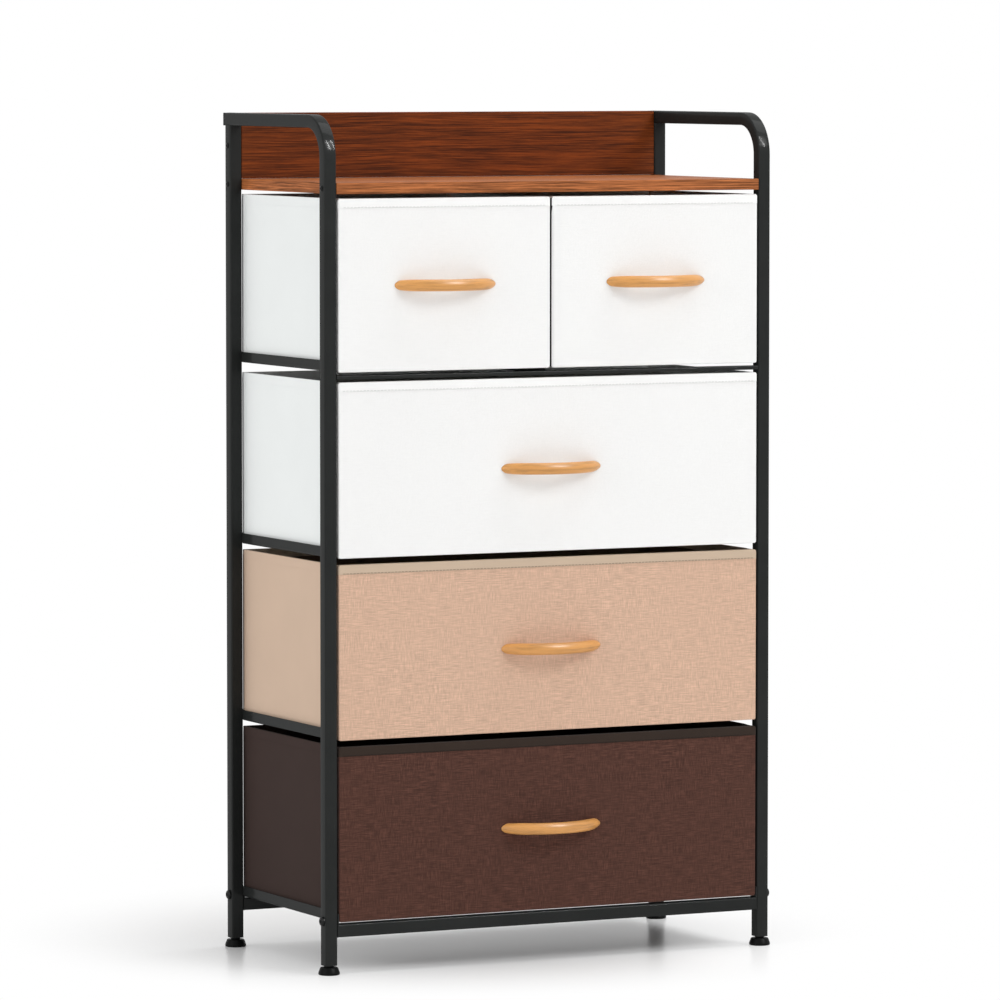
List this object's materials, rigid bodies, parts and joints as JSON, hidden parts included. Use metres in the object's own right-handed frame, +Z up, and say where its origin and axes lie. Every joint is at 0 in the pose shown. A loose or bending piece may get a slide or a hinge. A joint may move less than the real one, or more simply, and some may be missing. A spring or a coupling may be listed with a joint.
{
  "type": "fabric drawer dresser",
  "caption": "Tall steel tube dresser with a wood top, hand rails, two small over three wide fabric drawers with bowed wooden handles.",
  "frame": {"origin": "on the floor, under the centre of the outline", "axes": "+Z up, drawers open towards -Y, +X towards the dresser's right-hand side seen from the front"},
  "size_m": [0.59, 0.3156, 0.99],
  "materials": {
    "frame_steel": "satin black powder coat",
    "bolt_steel": "black oxide, semi-gloss",
    "black_plastic": "matte moulded",
    "tabletop_wood": "satin reddish wood grain laminate",
    "panel_wood": "satin dark reddish wood grain laminate",
    "handle_wood": "clear satin lacquer on pale wood",
    "fibreboard": "raw fibreboard",
    "white_fabric": "matte stiffened non-woven fabric",
    "tan_fabric": "matte linen weave",
    "brown_fabric": "matte linen weave"
  },
  "bodies": {
    "frame": {"left_post_and_hand_rail": "frame_steel", "right_post_and_hand_rail": "frame_steel", "left_rear_post": "frame_steel", "right_rear_post": "frame_steel", "left_hand_rail_cap": "black_plastic", "right_hand_rail_cap": "black_plastic", "left_top_rail": "frame_steel", "left_upper_rail": "frame_steel", "left_middle_rail": "frame_steel", "left_bottom_rail": "frame_steel", "right_top_rail": "frame_steel", "right_upper_rail": "frame_steel", "right_middle_rail": "frame_steel", "right_bottom_rail": "frame_steel", "front_bottom_crossbar": "frame_steel", "rear_bottom_crossbar": "frame_steel", "rear_middle_crossbar": "frame_steel", "rear_upper_crossbar": "frame_steel", "rear_top_crossbar": "frame_steel", "front_top_crossbar": "frame_steel", "centre_rail": "frame_steel", "left_front_table_bolt": "bolt_steel", "left_rear_table_bolt": "bolt_steel", "left_panel_bolt": "bolt_steel", "left_front_frame_bolt": "bolt_steel", "left_rear_frame_bolt": "bolt_steel", "right_front_table_bolt": "bolt_steel", "right_rear_table_bolt": "bolt_steel", "right_panel_bolt": "bolt_steel", "right_front_frame_bolt": "bolt_steel", "right_rear_frame_bolt": "bolt_steel", "tabletop": "tabletop_wood", "back_panel": "panel_wood"},
    "top_left_drawer": {"top_left_drawer_bin": "white_fabric", "top_left_drawer_front_board": "fibreboard", "top_left_drawer_base_board": "fibreboard", "top_left_drawer_handle": "handle_wood"},
    "top_right_drawer": {"top_right_drawer_bin": "white_fabric", "top_right_drawer_front_board": "fibreboard", "top_right_drawer_base_board": "fibreboard", "top_right_drawer_handle": "handle_wood"},
    "upper_drawer": {"upper_drawer_bin": "white_fabric", "upper_drawer_front_board": "fibreboard", "upper_drawer_base_board": "fibreboard", "upper_drawer_handle": "handle_wood"},
    "middle_drawer": {"middle_drawer_bin": "tan_fabric", "middle_drawer_front_board": "fibreboard", "middle_drawer_base_board": "fibreboard", "middle_drawer_handle": "handle_wood"},
    "bottom_drawer": {"bottom_drawer_bin": "brown_fabric", "bottom_drawer_front_board": "fibreboard", "bottom_drawer_base_board": "fibreboard", "bottom_drawer_handle": "handle_wood"},
    "front_left_foot": {"front_left_foot": "black_plastic"},
    "front_right_foot": {"front_right_foot": "black_plastic"},
    "rear_left_foot": {"rear_left_foot": "black_plastic"},
    "rear_right_foot": {"rear_right_foot": "black_plastic"}
  },
  "joints": [
    {"name": "top_left_drawer_slide", "type": "slide", "parent": "frame", "child": "top_left_drawer", "axis": [0, -1, 0], "range_m": [0, 0.2]},
    {"name": "top_right_drawer_slide", "type": "slide", "parent": "frame", "child": "top_right_drawer", "axis": [0, -1, 0], "range_m": [0, 0.2]},
    {"name": "upper_drawer_slide", "type": "slide", "parent": "frame", "child": "upper_drawer", "axis": [0, -1, 0], "range_m": [0, 0.2]},
    {"name": "middle_drawer_slide", "type": "slide", "parent": "frame", "child": "middle_drawer", "axis": [0, -1, 0], "range_m": [0, 0.2]},
    {"name": "bottom_drawer_slide", "type": "slide", "parent": "frame", "child": "bottom_drawer", "axis": [0, -1, 0], "range_m": [0, 0.2]},
    {"name": "front_left_foot_turn", "type": "hinge", "parent": "frame", "child": "front_left_foot", "pos_m": [-0.2825, -0.12, 0], "axis": [0, 0, 1], "continuous": true},
    {"name": "front_right_foot_turn", "type": "hinge", "parent": "frame", "child": "front_right_foot", "pos_m": [0.2825, -0.12, 0], "axis": [0, 0, 1], "continuous": true},
    {"name": "rear_left_foot_turn", "type": "hinge", "parent": "frame", "child": "rear_left_foot", "pos_m": [-0.2825, 0.145, 0], "axis": [0, 0, 1], "continuous": true},
    {"name": "rear_right_foot_turn", "type": "hinge", "parent": "frame", "child": "rear_right_foot", "pos_m": [0.2825, 0.145, 0], "axis": [0, 0, 1], "continuous": true}
  ]
}
